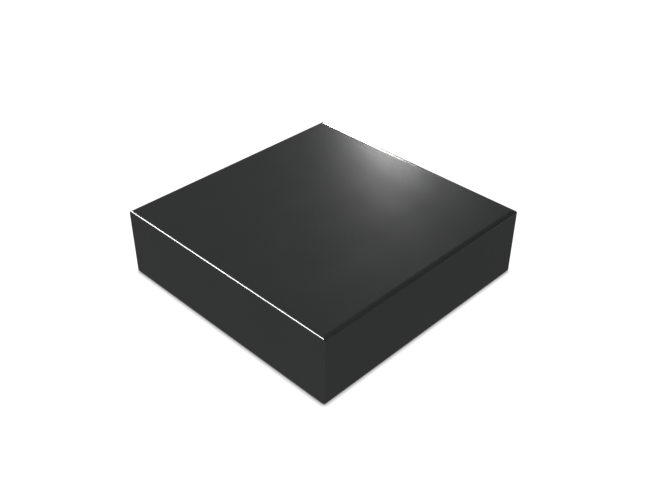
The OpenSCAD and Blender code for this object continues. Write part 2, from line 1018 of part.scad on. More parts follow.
module optical_shutter() {
    gap_half = 1.2;
    color([0.1, 0.1, 0.105])
        at_port(optical_x)
            translate([0, shutter_axis_y, shutter_axis_z]) {
                difference() {
                    union() {
                        // the door, below its pin
                        translate([-shutter_w / 2, -shutter_back, -shutter_h])
                            cube([shutter_w, shutter_back + shutter_front, shutter_h]);
                        translate([-shutter_w / 2, 0, 0])
                            rotate([0, 90, 0])
                                cylinder(r = 0.58, h = shutter_w);
                    }
                    // the gap that the spring's coil sits in
                    translate([-gap_half, -1, -1])
                        cube([2 * gap_half, 2, 2.2]);
                    // a shallow target ring on the outside
                    translate([0, shutter_front - 0.15, optical_axis_z - shutter_axis_z])
                        difference() {
                            rod_y(1.7, 1);
                            rod_y(1.4, 1);
                        }
                }
                translate([-optical_w / 2 + 0.35, 0, 0])
                    rotate([0, 90, 0])
                        cylinder(r = shutter_pin_r, h = optical_w - 0.7);
            }
}

module shutter_spring() {
    wire_r = 0.1;
    coil_r = 0.58;
    turns = 4;
    per_turn = 12;
    pitch = 0.4;
    coil = [for (p = coil_points(coil_r, pitch, turns, per_turn))
        [p[2] - turns * pitch / 2, -p[0], -p[1]]];
    // one leg runs up to the cavity's roof, the other down behind the door
    roof_leg = coil[0] + [0, 0, 0.75];
    door_leg = coil[len(coil) - 1] - [0, 0, 2.4];
    color(c_steel)
        at_port(optical_x)
            translate([0, shutter_axis_y, shutter_axis_z])
                tube(concat([roof_leg], coil, [door_leg]), wire_r, 6);
}

// ---- network socket ----

ethernet_w = 16;
ethernet_h = 13.4;
ethernet_depth = 16.5;
ethernet_t = 0.25;
jack_half = 5.9;
jack_bottom = 2.6;
jack_top = 9.6;
jack_deep = 12;
indicator_size = [3, 1.7];
indicator_pos = [5.2, 11.3];

// The mouth's outline in X and Z, with the latch's notch at its bottom
module jack_mouth() {
    translate([-jack_half, jack_bottom])
        square([2 * jack_half, jack_top - jack_bottom]);
    translate([-3.1, 1.2])
        square([6.2, 1.5]);
}

module indicator_windows(grow) {
    for (s = [-1, 1])
        translate([s * indicator_pos[0], indicator_pos[1]])
            square(indicator_size + [grow, grow], center = true);
}

module ethernet_shell() {
    color(c_steel)
        at_port(ethernet_x)
            difference() {
                translate([-ethernet_w / 2, -ethernet_depth, 0])
                    cube([ethernet_w, ethernet_depth, ethernet_h]);
                translate([-ethernet_w / 2 + ethernet_t, -ethernet_depth - 1, -1])
                    cube([
                        ethernet_w - 2 * ethernet_t,
                        ethernet_depth + 1 - ethernet_t,
                        ethernet_h + 1 - ethernet_t
                    ]);
                translate([0, 1, 0])
                    facing_rear(3) {
                        jack_mouth();
                        indicator_windows(0.3);
                    }
            }
}

module ethernet_insert() {
    room = ethernet_t + 0.02;
    color(c_insert)
        at_port(ethernet_x)
            difference() {
                translate([-ethernet_w / 2 + room, -ethernet_depth, 0])
                    cube([ethernet_w - 2 * room, ethernet_depth - room, ethernet_h - room]);
                translate([0, 1, 0])
                    facing_rear(jack_deep + 1)
                        jack_mouth();
                translate([0, 1, 0])
                    facing_rear(4)
                        indicator_windows(0.1);
                // slots that the contacts spring in
                for (i = [0 : 7])
                    translate([(i - 3.5) * 1.02 - 0.3, -jack_deep, jack_top - 1])
                        cube([0.6, jack_deep - 2, 1.9]);
            }
}

module ethernet_contacts() {
    color(c_gold)
        at_port(ethernet_x)
            for (i = [0 : 7])
                translate([(i - 3.5) * 1.02 - 0.2, -2.4, jack_top + 0.3])
                    rotate([18, 0, 0])
                        translate([0, -8.6, 0])
                            cube([0.4, 8.6, 0.3]);
}

module ethernet_indicators() {
    for (s = [-1, 1])
        color(s < 0 ? [0.55, 0.75, 0.35] : [0.85, 0.6, 0.2])
            at_port(ethernet_x)
                translate([0, -0.1, 0])
                    facing_rear(2.8)
                        translate([s * indicator_pos[0], indicator_pos[1]])
                            square(indicator_size, center = true);
}

// ---- reset button and its switch ----

module reset_button() {
    flange_r = 2.8;
    flange_t = 0.8;
    flange_front = panel_back - 0.1;
    cap_end = panel_face + 0.3;
    stem_end = switch_front + plunger_out + touch_gap;
    color([0.13, 0.13, 0.135])
        translate([button_x, 0, button_z])
            difference() {
                union() {
                    translate([0, flange_front - flange_t, 0])
                        rod_y(flange_r, flange_t);
                    translate([0, flange_front - eps, 0])
                        rod_y(button_r, cap_end - flange_front + eps);
                    translate([0, stem_end, 0])
                        rod_y(1, flange_front - flange_t - stem_end + eps);
                }
                // the dished face
                translate([0, cap_end + 9.8, 0])
                    sphere(10);
            }
}

module switch_body() {
    color([0.16, 0.16, 0.16])
        translate([button_x, 0, board_top])
            difference() {
                translate([-3, switch_front - 3.6, 0])
                    cube([6, 3.6, 5.2]);
                translate([0, switch_front - 2, button_z - board_top])
                    rod_y(plunger_r + 0.08, 3);
            }
    color(c_steel)
        for (s = [-1, 1])
            translate([button_x + s * 3.15, switch_front - 1.8, board_top])
                slab(0.3, 2, 2.4);
}

module switch_plunger() {
    color([0.75, 0.2, 0.12])
        translate([button_x, switch_front - 1.4, button_z])
            rod_y(plunger_r, 1.4 + plunger_out);
}

top_housing();
base_plate();
rear_panel();
foot(-1, -1);  // foot_front_left
foot(1, -1);  // foot_front_right
foot(-1, 1);  // foot_rear_left
foot(1, 1);  // foot_rear_right
housing_screws();
rating_label();
main_board();
board_screws();
heat_spreader();
board_thermal_pad();
processor();
memory_chips();
flash_chip();
power_chip();
shield_frame();
shield_lid();
processor_thermal_pad();
lid_thermal_pad();
heat_sink();
heat_sink_pins();
heat_sink_springs();
wireless_module();
antenna(-1);  // antenna_left
antenna(1);  // antenna_right
antenna_cable(route_left, plug_left);  // antenna_cable_left
antenna_cable(route_right, plug_right);  // antenna_cable_right
infrared_receiver();
status_led();
light_pipe();
ethernet_transformer();
ethernet_chip();
inductors();
bulk_capacitors();
crystals();
surface_mount_parts();
dc_jack_body();
dc_jack_pin();
dc_jack_spring();
hdmi_shell();
hdmi_tongue();
hdmi_contacts();
usb_shell();
usb_tongue();
usb_contacts();
optical_body();
optical_emitter();
optical_shutter();
shutter_spring();
ethernet_shell();
ethernet_insert();
ethernet_contacts();
ethernet_indicators();
reset_button();
switch_body();
switch_plunger();
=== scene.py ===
"""Looks of the streaming media player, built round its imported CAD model."""
import json
import math

import bmesh
import bpy
from mathutils import Matrix, Quaternion, Vector


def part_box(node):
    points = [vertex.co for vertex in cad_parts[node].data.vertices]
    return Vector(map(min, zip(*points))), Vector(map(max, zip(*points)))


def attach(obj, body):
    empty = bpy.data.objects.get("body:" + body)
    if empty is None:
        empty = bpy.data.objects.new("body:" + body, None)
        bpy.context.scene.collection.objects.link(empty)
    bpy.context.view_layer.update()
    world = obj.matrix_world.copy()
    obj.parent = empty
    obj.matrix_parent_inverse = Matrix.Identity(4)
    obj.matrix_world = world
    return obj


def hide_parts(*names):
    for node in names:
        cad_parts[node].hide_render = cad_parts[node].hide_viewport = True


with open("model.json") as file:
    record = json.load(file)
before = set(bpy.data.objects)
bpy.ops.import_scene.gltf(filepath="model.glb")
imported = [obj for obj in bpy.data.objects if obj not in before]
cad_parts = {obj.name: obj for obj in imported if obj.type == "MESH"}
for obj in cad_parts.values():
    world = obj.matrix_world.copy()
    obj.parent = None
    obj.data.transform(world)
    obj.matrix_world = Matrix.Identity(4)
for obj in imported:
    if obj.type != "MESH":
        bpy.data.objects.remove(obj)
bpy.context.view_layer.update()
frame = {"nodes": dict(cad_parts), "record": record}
NODES = frame["nodes"]
MM = 0.001
BODY_OF = {node: body for body, names in frame["record"]["behaviour"]["bodies"].items() for node in names}

# the product's own dimensions that its boxes don't give
WINDOW_HALF = 44 * MM
WINDOW_TOP = 23 * MM
SHUTTER_AXIS_Y = 47.85 * MM
BOARD_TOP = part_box("main_board")[1].z

# brightness of the surroundings on the -X side, on the +X side and ahead of the near corner
WORLD_LIGHT = 0.122
WORLD_DARK = 0.0
WORLD_FRONT = 0.2
# brightness of the floor: as seen, as mirrored in the object, and as mirrored in the rear panel
FLOOR_SEEN = 1.12
FLOOR_MIRRORED = 0.112
FLOOR_BEHIND = 0.6
# how far the painted contact shadow spreads on the floor, and how deep it is
CONTACT_REACH = 1.7 * MM
CONTACT_DEPTH = 1.1
# points closer than this are one point, and wires are this much thinner at their very ends
SAME_POINT = 0.0005 * MM
WIRE_END = 0.8


# ---- camera, floor and light ----

def make_camera():
    """Looks down at the near corner, with the front to the left and the +X side to the right."""
    azimuth, elevation = math.radians(44.77), math.radians(35.28)
    back = Vector((
        math.sin(azimuth) * math.cos(elevation),
        -math.cos(azimuth) * math.cos(elevation),
        math.sin(elevation),
    ))
    right = Vector((math.cos(azimuth), math.sin(azimuth), 0))
    up = back.cross(right)
    low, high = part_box("top_housing")
    width = high.x - low.x
    target = (low + high) / 2 + width * (0.002 * right - 0.0105 * up)
    camera = bpy.data.objects.new("camera", bpy.data.cameras.new("camera"))
    bpy.context.scene.collection.objects.link(camera)
    camera.data.sensor_width = 36
    camera.data.lens = 48.21
    camera.data.clip_start = 0.01
    camera.location = target + back * (3.228 * width)
    camera.rotation_mode = "QUATERNION"
    roll = Matrix.Rotation(math.radians(0.1), 4, back).to_quaternion()
    camera.rotation_quaternion = roll @ (-back).to_track_quat("-Z", "Y")
    bpy.context.scene.camera = camera


def node_tree(owner):
    """An empty node tree on a material or world, with a function that adds nodes to it."""
    owner.use_nodes = True
    tree = owner.node_tree
    tree.nodes.clear()

    def add(kind, inputs=None, **settings):
        made = tree.nodes.new(kind)
        for name, value in settings.items():
            setattr(made, name, value)
        for socket, value in (inputs or {}).items():
            if isinstance(value, bpy.types.NodeSocket):
                tree.links.new(value, made.inputs[socket])
            else:
                made.inputs[socket].default_value = value
        return made

    return tree, add


def make_world():
    """Dim studio surroundings, lighter on the -X side and, less so, in front on the +X side."""
    world = bpy.data.worlds.new("studio")
    bpy.context.scene.world = world
    _, add = node_tree(world)
    direction = add("ShaderNodeTexCoord").outputs["Generated"]
    split = add("ShaderNodeSeparateXYZ", {0: direction})
    left = add("ShaderNodeMapRange", {
        "Value": split.outputs["X"], "From Min": -0.6, "From Max": 0.0,
        "To Min": WORLD_LIGHT, "To Max": WORLD_DARK,
    }, interpolation_type="SMOOTHSTEP")
    ahead = add("ShaderNodeVectorMath", {0: direction, 1: (0.707, -0.707, 0)}, operation="DOT_PRODUCT")
    front = add("ShaderNodeMapRange", {
        "Value": ahead.outputs["Value"], "From Min": 0.35, "From Max": 0.85,
        "To Min": 0.0, "To Max": WORLD_FRONT,
    }, interpolation_type="SMOOTHSTEP")
    level = add("ShaderNodeMath", {0: left.outputs[0], 1: front.outputs[0]}, operation="ADD")
    shade = add("ShaderNodeBackground", {"Color": (1, 1, 1, 1), "Strength": level.outputs[0]})
    add("ShaderNodeOutputWorld", {"Surface": shade.outputs[0]})


def make_floor():
    """A plain pale sweep: glowing white to the camera with a painted contact shadow, and dimmer in what it
    reflects in.
    """
    bpy.ops.mesh.primitive_plane_add(size=6)
    floor = bpy.context.object
    floor.name = "floor"
    material = bpy.data.materials.new("floor_paper")
    _, add = node_tree(material)
    # painted contact shadow: the glow the camera sees is darkened by ambient occlusion near the object
    contact = add("ShaderNodeAmbientOcclusion", {"Distance": CONTACT_REACH}, samples=8)
    shade = add("ShaderNodeMath", {0: contact.outputs["AO"], 1: CONTACT_DEPTH}, operation="POWER")
    level = add("ShaderNodeMath", {0: shade.outputs[0], 1: FLOOR_SEEN}, operation="MULTIPLY")
    seen = add("ShaderNodeEmission", {"Color": (1, 1, 1, 1), "Strength": level.outputs[0]})
    # what the object mirrors: brighter behind it, where the sockets face
    y = add("ShaderNodeSeparateXYZ", {0: add("ShaderNodeNewGeometry").outputs["Position"]}).outputs["Y"]
    bounce = add("ShaderNodeMapRange", {
        "Value": y, "From Min": 80 * MM, "From Max": 115 * MM,
        "To Min": FLOOR_MIRRORED, "To Max": FLOOR_BEHIND,
    }, interpolation_type="SMOOTHSTEP")
    mirrored = add("ShaderNodeEmission", {"Color": (1, 1, 1, 1), "Strength": bounce.outputs[0]})
    path = add("ShaderNodeLightPath")
    above = add("ShaderNodeMixShader", {
        0: path.outputs["Is Camera Ray"], 1: mirrored.outputs[0], 2: seen.outputs[0],
    })
    clear = add("ShaderNodeBsdfTransparent")
    side = add("ShaderNodeNewGeometry")
    both = add("ShaderNodeMixShader", {
        0: side.outputs["Backfacing"], 1: above.outputs[0], 2: clear.outputs[0],
    })
    add("ShaderNodeOutputMaterial", {"Surface": both.outputs[0]})
    floor.data.materials.append(material)


def make_backdrop():
    """A pale dome round the stage that only the camera sees, so that low views have no dark horizon."""
    bpy.ops.mesh.primitive_uv_sphere_add(radius=2.9, segments=64, ring_count=32)
    dome = bpy.context.object
    dome.name = "backdrop"
    material = bpy.data.materials.new("backdrop_paper")
    _, add = node_tree(material)
    glow = add("ShaderNodeEmission", {"Color": (1, 1, 1, 1), "Strength": FLOOR_SEEN})
    add("ShaderNodeOutputMaterial", {"Surface": glow.outputs[0]})
    material.cycles.emission_sampling = "NONE"
    dome.data.materials.append(material)
    for ray in ("diffuse", "glossy", "transmission", "volume_scatter", "shadow"):
        setattr(dome, "visible_" + ray, False)


def add_softbox(name, azimuth, elevation, distance, size, watts, roll=0, glossy=True):
    """A rectangular light aimed at the object. Azimuth 0 is behind it (+Y), and 90 is on its -X side.

    A light that isn't glossy adds soft fill, and no reflection of its own."""
    a, e = math.radians(azimuth), math.radians(elevation)
    away = Vector((-math.sin(a) * math.cos(e), math.cos(a) * math.cos(e), math.sin(e)))
    data = bpy.data.lights.new(name, "AREA")
    data.shape = "RECTANGLE"
    data.size, data.size_y = size
    data.energy = watts
    light = bpy.data.objects.new(name, data)
    bpy.context.scene.collection.objects.link(light)
    light.location = away * distance
    light.rotation_mode = "QUATERNION"
    light.rotation_quaternion = away.to_track_quat("Z", "Y") @ Quaternion((0, 0, 1), math.radians(roll))
    light.visible_camera = False
    light.visible_glossy = glossy
    data.cycles.use_multiple_importance_sampling = glossy


def make_lights():
    add_softbox("back_softbox", 38.4, 15.8, 1.5, (0.11, 0.48), 15.8)
    add_softbox("front_fill", 225, 12, 1.2, (0.6, 0.6), 22, glossy=False)
    add_softbox("left_softbox", 114, 48, 2.6, (0.38, 1.0), 65, roll=-31)
    add_softbox("under_fill", 0, -90, 1.0, (0.5, 0.5), 11, glossy=False)


# ---- mesh tools ----

def new_piece(name, mesh):
    """An object for the mesh, in the scene."""
    piece = bpy.data.objects.new(name, mesh)
    bpy.context.scene.collection.objects.link(piece)
    return piece


def as_mesh(name, bm):
    """The edited mesh as Blender's own, and the edited one freed."""
    mesh = bpy.data.meshes.new(name)
    bm.to_mesh(mesh)
    bm.free()
    return mesh


def rounded_square(half_x, half_y, radius, steps):
    """Points round a rectangle with round corners, anticlockwise, with the same count for any size."""
    points = []
    for corner, (sx, sy) in enumerate([(1, 1), (-1, 1), (-1, -1), (1, -1)]):
        for i in range(steps + 1):
            a = math.radians(90 * (corner + i / steps))
            points.append((
                sx * (half_x - radius) + radius * math.cos(a),
                sy * (half_y - radius) + radius * math.sin(a),
            ))
    return points


def stacked_rings(rings):
    """A closed mesh through rings of points, each ring above the last."""
    bm = bmesh.new()
    rows = [[bm.verts.new(p) for p in ring] for ring in rings]
    for low, high in zip(rows, rows[1:]):
        for i in range(len(low)):
            j = (i + 1) % len(low)
            bm.faces.new((low[i], low[j], high[j], high[i]))
    bm.faces.new(reversed(rows[0]))
    bm.faces.new(rows[-1])
    return bm


def boolean(piece, other, operation):
    """Applies one exact boolean and removes the other object."""
    step = piece.modifiers.new("step", "BOOLEAN")
    step.operation = operation
    step.solver = "EXACT"
    step.object = other
    bpy.context.view_layer.update()
    ready = piece.evaluated_get(bpy.context.evaluated_depsgraph_get())
    mesh = bpy.data.meshes.new_from_object(ready)
    piece.modifiers.clear()
    old = piece.data
    piece.data = mesh
    bpy.data.meshes.remove(old)
    used = other.data
    bpy.data.objects.remove(other)
    bpy.data.meshes.remove(used)


def smooth_by_angle(piece, degrees=30):
    """Smooth shading, sharp over edges steeper than the angle, with flats kept flat."""
    bm = bmesh.new()
    bm.from_mesh(piece.data)
    bmesh.ops.dissolve_degenerate(bm, dist=SAME_POINT / 2, edges=bm.edges)
    for face in bm.faces:
        face.smooth = True
    for edge in bm.edges:
        steep = len(edge.link_faces) != 2 or edge.calc_face_angle(0) > math.radians(degrees)
        edge.smooth = not steep
    bm.to_mesh(piece.data)
    bm.free()
    weigh = piece.modifiers.new("weigh_normals", "WEIGHTED_NORMAL")
    weigh.keep_sharp = True
    weigh.weight = 100


def finish_piece(piece, node, *materials, body=None):
    """The piece stands for the node, takes its materials, and rides on its body or on another one."""
    for material in materials:
        piece.data.materials.append(material)
    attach(piece, body or BODY_OF[node])
    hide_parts(node)


def turned(name, profile, centre, along="Z", sides=64):
    """A solid turned about Z or Y. Its profile is (radius, height) points from its lowest axis point up."""
    bm = bmesh.new()
    rows = []
    for radius, height in profile[1:-1]:
        row = []
        for i in range(sides):
            a = math.tau * i / sides
            row.append(bm.verts.new((radius * math.cos(a), radius * math.sin(a), height)))
        rows.append(row)
    for low, high in zip(rows, rows[1:]):
        for i in range(sides):
            j = (i + 1) % sides
            bm.faces.new((low[i], low[j], high[j], high[i]))
    first = bm.verts.new((0, 0, profile[0][1]))
    last = bm.verts.new((0, 0, profile[-1][1]))
    for i in range(sides):
        j = (i + 1) % sides
        bm.faces.new((first, rows[0][j], rows[0][i]))
        bm.faces.new((last, rows[-1][i], rows[-1][j]))
    if along == "Y":
        bmesh.ops.rotate(bm, verts=bm.verts, matrix=Matrix.Rotation(math.radians(-90), 3, "X"))
    bmesh.ops.translate(bm, verts=bm.verts, vec=Vector(centre))
    return new_piece(name, as_mesh(name, bm))


def arc(radius, height, size, start, end, steps=6):
    """Points of a profile's round edge, about (radius, height), from one angle to another in degrees."""
    points = []
    for i in range(steps + 1):
        a = math.radians(start + (end - start) * i / steps)
        points.append((radius + size * math.cos(a), height + size * math.sin(a)))
    return points


def smooth_route(points, steps):
    """Points on a smooth curve through a route's points."""
    route = [Vector(p) for p in points]
    curve = []
    last = len(route) - 1
    for i in range(last):
        a, b, c, d = route[max(i - 1, 0)], route[i], route[i + 1], route[min(i + 2, last)]
        for k in range(steps):
            t = k / steps
            curve.append(0.5 * (
                2 * b + (c - a) * t + (2 * a - 5 * b + 4 * c - d) * t * t
                + (3 * b - a - 3 * c + d) * t * t * t
            ))
    curve.append(route[-1])
    return curve


def swept(name, points, radius, sides=12):
    """A closed round wire along the points, without twist."""
    points = [Vector(p) for p in points]
    last = len(points) - 1
    side = (points[1] - points[0]).orthogonal()
    bm = bmesh.new()
    rows = []
    for i, place in enumerate(points):
        heading = (points[min(i + 1, last)] - points[max(i - 1, 0)]).normalized()
        side = (side - side.dot(heading) * heading).normalized()
        other = heading.cross(side)
        reach = radius * (WIRE_END if i in (0, last) else 1)
        row = []
        for k in range(sides):
            a = math.tau * k / sides
            row.append(bm.verts.new(place + reach * (math.cos(a) * side + math.sin(a) * other)))
        rows.append(row)
    for low, high in zip(rows, rows[1:]):
        for k in range(sides):
            j = (k + 1) % sides
            bm.faces.new((low[k], low[j], high[j], high[k]))
    bm.faces.new(reversed(rows[0]))
    bm.faces.new(rows[-1])
    return new_piece(name, as_mesh(name, bm))


def islands(bm):
    """The mesh's separate solids, as lists of faces."""
    left = set(bm.faces)
    found = []
    for start in bm.faces:
        if start not in left:
            continue
        left.discard(start)
        group, to_visit = [start], [start]
        while to_visit:
            face = to_visit.pop()
            for edge in face.edges:
                for near in edge.link_faces:
                    if near in left:
                        left.discard(near)
                        group.append(near)
                        to_visit.append(near)
        found.append(group)
    return found


def softened(node, width, materials, paint=None):
    """The node's own shape with its outer edges rounded, as a new piece that stands for it.

    paint gives a face's material number from its centre and its solid's centre."""
    bm = bmesh.new()
    bm.from_mesh(NODES[node].data)
    bmesh.ops.remove_doubles(bm, verts=bm.verts, dist=SAME_POINT)
    bmesh.ops.dissolve_limit(bm, angle_limit=math.radians(0.5), verts=bm.verts, edges=bm.edges)
    if paint:
        for group in islands(bm):
            corners = [v.co for face in group for v in face.verts]
            spans = [[c[i] for c in corners] for i in range(3)]
            middle = Vector([(min(span) + max(span)) / 2 for span in spans])
            for face in group:
                face.material_index = paint(face.calc_center_bounds(), middle)
    steep = math.radians(35)
    edges = [e for e in bm.edges if e.is_convex and e.calc_face_angle(0) > steep]
    bmesh.ops.bevel(
        bm, geom=edges, offset=width, offset_type="OFFSET", segments=2, profile=0.5,
        affect="EDGES", clamp_overlap=False, material=-1,
    )
    bmesh.ops.dissolve_degenerate(bm, dist=SAME_POINT, edges=bm.edges)
    piece = new_piece(node + "_detailed", as_mesh(node + "_detailed", bm))
    smooth_by_angle(piece)
    finish_piece(piece, node, *materials)


# ---- materials ----

def start_material(name):
    """A new material, its function that adds nodes, and its coordinates in metres."""
    material = bpy.data.materials.new(name)
    _, add = node_tree(material)
    return material, add, add("ShaderNodeTexCoord").outputs["Object"]


def noise(add, place, scale, detail=2.0):
    """Noise between 0 and 1 whose patches are about 1/scale metres across."""
    return add("ShaderNodeTexNoise", {"Vector": place, "Scale": scale, "Detail": detail}).outputs[0]


def spread(add, value, low, high, start=0.0, end=1.0):
    """Maps a value from start..end to low..high, and holds it there outside."""
    return add("ShaderNodeMapRange", {
        "Value": value, "From Min": start, "From Max": end, "To Min": low, "To Max": high,
    }).outputs[0]


def tinted(add, color, value):
    """A colour, made lighter or darker by a value round 1."""
    return add("ShaderNodeHueSaturation", {"Value": value, "Color": (*color, 1)}).outputs[0]


def raised(add, height, distance, strength=1.0):
    """A normal that follows a height map of the given depth."""
    return add("ShaderNodeBump", {"Height": height, "Distance": distance, "Strength": strength}).outputs[0]


def mixed(add, factor, low, high):
    """The colour low where the factor is 0, and high where it is 1."""
    made = add("ShaderNodeMix", {0: factor, 6: low, 7: high}, data_type="RGBA")
    return made.outputs[2]


def math_node(add, operation, first, second=0.0):
    return add("ShaderNodeMath", {0: first, 1: second}, operation=operation).outputs[0]


def surface(add, inputs):
    """The material's shader and its output."""
    shader = add("ShaderNodeBsdfPrincipled", inputs)
    add("ShaderNodeOutputMaterial", {"Surface": shader.outputs[0]})


def moulded_plastic(name, color, roughness, grain=0.12 * MM, depth=0.05, specular=0.5, drift=0.015):
    """Injection-moulded plastic: a fine sparked grain, with faint drifts of shade and gloss."""
    material, add, place = start_material(name)
    patches = noise(add, place, 60.0, 3.0)
    pits = noise(add, place, 1 / grain)
    surface(add, {
        "Base Color": tinted(add, color, spread(add, patches, 0.96, 1.04)),
        "Roughness": spread(add, patches, roughness - drift, roughness + drift),
        "Normal": raised(add, pits, 0.02 * MM, depth),
        "Specular IOR Level": specular,
    })
    return material


def rubber(name, color):
    """Matt rubber with a fine bloom on it."""
    material, add, place = start_material(name)
    bloom = noise(add, place, 900.0, 5.0)
    skin = noise(add, place, 5200.0, 3.0)
    surface(add, {
        "Base Color": tinted(add, color, spread(add, bloom, 0.75, 1.35, 0.3, 0.7)),
        "Roughness": spread(add, bloom, 0.68, 0.86),
        "Normal": raised(add, skin, 0.02 * MM, 0.5),
        "Specular IOR Level": 0.35,
    })
    return material


def metal(name, color, roughness, stretch=(1, 1, 1), depth=0.15):
    """Metal with faint smears, and fine drawing lines along the axis with the smallest stretch."""
    material, add, place = start_material(name)
    lined = add("ShaderNodeVectorMath", {0: place, 1: stretch}, operation="MULTIPLY").outputs[0]
    lines = noise(add, lined, 4000.0, 3.0)
    smears = noise(add, place, 220.0, 4.0)
    lined_gloss = spread(add, lines, roughness, roughness * 1.3, 0.3, 0.7)
    smeared = spread(add, smears, 0.85, 1.25, 0.3, 0.7)
    surface(add, {
        "Base Color": tinted(add, color, spread(add, smears, 0.93, 1.04)),
        "Roughness": math_node(add, "MULTIPLY", smeared, lined_gloss),
        "Normal": raised(add, lines, 0.004 * MM, depth),
        "Metallic": 1.0,
    })
    return material


def circuit_laminate(name, mask, edge):
    """A printed board: solder mask over copper tracks, tinned via rings with painted shade in their bores,
    and bare laminate at its edges.
    """
    material, add, place = start_material(name)
    cells = add("ShaderNodeTexVoronoi", {"Vector": place, "Scale": 95.0}, distance="CHEBYCHEV")
    comb = math_node(add, "FRACT", math_node(add, "MULTIPLY", cells.outputs["Distance"], 17.0))
    routed = spread(add, noise(add, place, 70.0), 0, 1, 0.44, 0.47)
    tracks = math_node(add, "MULTIPLY", spread(add, comb, 0, 1, 0.52, 0.6), routed)
    spots = add("ShaderNodeTexVoronoi", {"Vector": place, "Scale": 330.0, "Randomness": 0.8})
    dots = spots.outputs["Distance"]
    rings = spread(add, dots, 1, 0, 0.12, 0.15)
    # painted shade: near-black dots stand in for the dark inside of the via bores, which the mesh doesn't
    # have
    painted_bore_shade = spread(add, dots, 1, 0, 0.05, 0.07)
    grain = noise(add, place, 3000.0)
    shade = spread(add, grain, 0.92, 1.08)
    board = mixed(add, tracks, tinted(add, mask, shade), tinted(add, [2.1 * c for c in mask], shade))
    tinned = mixed(add, rings, board, (0.62, 0.6, 0.55, 1))
    bore_shaded = mixed(add, painted_bore_shade, tinned, (0.01, 0.01, 0.01, 1))
    facing = add("ShaderNodeSeparateXYZ", {0: add("ShaderNodeNewGeometry").outputs["Normal"]}).outputs["Z"]
    side = spread(add, math_node(add, "ABSOLUTE", facing), 1, 0, 0.3, 0.6)
    flat = math_node(add, "SUBTRACT", 1.0, side)
    surface(add, {
        "Base Color": mixed(add, side, bore_shaded, tinted(add, edge, shade)),
        "Roughness": spread(add, side, 0.32, 0.8),
        "Metallic": math_node(add, "MULTIPLY", math_node(add, "MULTIPLY", rings, flat), 0.8),
        "Normal": raised(add, tracks, 0.03 * MM, 0.5),
    })
    return material


def chip_epoxy(name, color=(0.025, 0.025, 0.027)):
    """Moulding compound: matt, with a sanded bloom and tiny filler specks."""
    material, add, place = start_material(name)
    specks = noise(add, place, 9000.0, 4.0)
    bloom = noise(add, place, 500.0, 3.0)
    surface(add, {
        "Base Color": tinted(add, color, spread(add, specks, 0.6, 1.6, 0.3, 0.7)),
        "Roughness": spread(add, bloom, 0.5, 0.66),
        "Normal": raised(add, specks, 0.008 * MM, 0.6),
        "Specular IOR Level": 0.4,
    })
    return material


def gap_pad(name, color):
    """Soft filled silicone, with coarse filler and a dusty skin."""
    material, add, place = start_material(name)
    filler = noise(add, place, 2600.0, 5.0)
    surface(add, {
        "Base Color": tinted(add, color, spread(add, filler, 0.8, 1.15, 0.3, 0.7)),
        "Roughness": spread(add, filler, 0.82, 0.95),
        "Normal": raised(add, filler, 0.05 * MM, 0.4),
        "Specular IOR Level": 0.25,
    })
    return material


def label_film(name, color):
    """Satin printed film, blank, with a faint orange-peel skin."""
    material, add, place = start_material(name)
    peel = noise(add, place, 1400.0, 1.0)
    drift = noise(add, place, 90.0, 2.0)
    surface(add, {
        "Base Color": tinted(add, color, spread(add, drift, 0.95, 1.05)),
        "Roughness": spread(add, drift, 0.3, 0.4),
        "Normal": raised(add, peel, 0.01 * MM, 0.3),
        "Coat Weight": 0.15,
        "Coat Roughness": 0.2,
    })
    return material


def clear_moulding(name, color, roughness, clearness):
    """Clear or lightly tinted plastic with faint flow marks."""
    material, add, place = start_material(name)
    flow = noise(add, place, 700.0, 2.0)
    surface(add, {
        "Base Color": tinted(add, color, spread(add, flow, 0.95, 1.03)),
        "Roughness": spread(add, flow, roughness * 0.6, roughness * 1.4),
        "Normal": raised(add, flow, 0.01 * MM, 0.15),
        "Transmission Weight": clearness,
        "IOR": 1.49,
    })
    return material


def ceramic_chips(name):
    """Small fired parts: tan capacitors and near-black resistors, chosen by their place on the board."""
    material, add, place = start_material(name)
    pitch = (2.1 * MM, 1.9 * MM, 1.0)
    spots = add("ShaderNodeVectorMath", {0: place, 1: pitch}, operation="SNAP").outputs[0]
    pick = add("ShaderNodeTexWhiteNoise", {"Vector": spots}).outputs["Value"]
    kind = spread(add, pick, 0, 1, 0.38, 0.4)
    specks = noise(add, place, 8000.0, 3.0)
    shade = spread(add, specks, 0.85, 1.15, 0.3, 0.7)
    resistor = tinted(add, (0.02, 0.02, 0.022), shade)
    capacitor = tinted(add, (0.36, 0.25, 0.15), shade)
    surface(add, {
        "Base Color": mixed(add, kind, resistor, capacitor),
        "Roughness": spread(add, specks, 0.42, 0.6),
        "Normal": raised(add, specks, 0.006 * MM, 0.5),
    })
    return material


# ---- housing ----

def block_piece(name, low, high):
    """A plain block between two corners, for the booleans."""
    bm = bmesh.new()
    bmesh.ops.create_cube(bm, size=1)
    for v in bm.verts:
        v.co = Vector([(l + h) / 2 + c * (h - l) for l, h, c in zip(low, high, v.co)])
    return new_piece(name, as_mesh(name, bm))


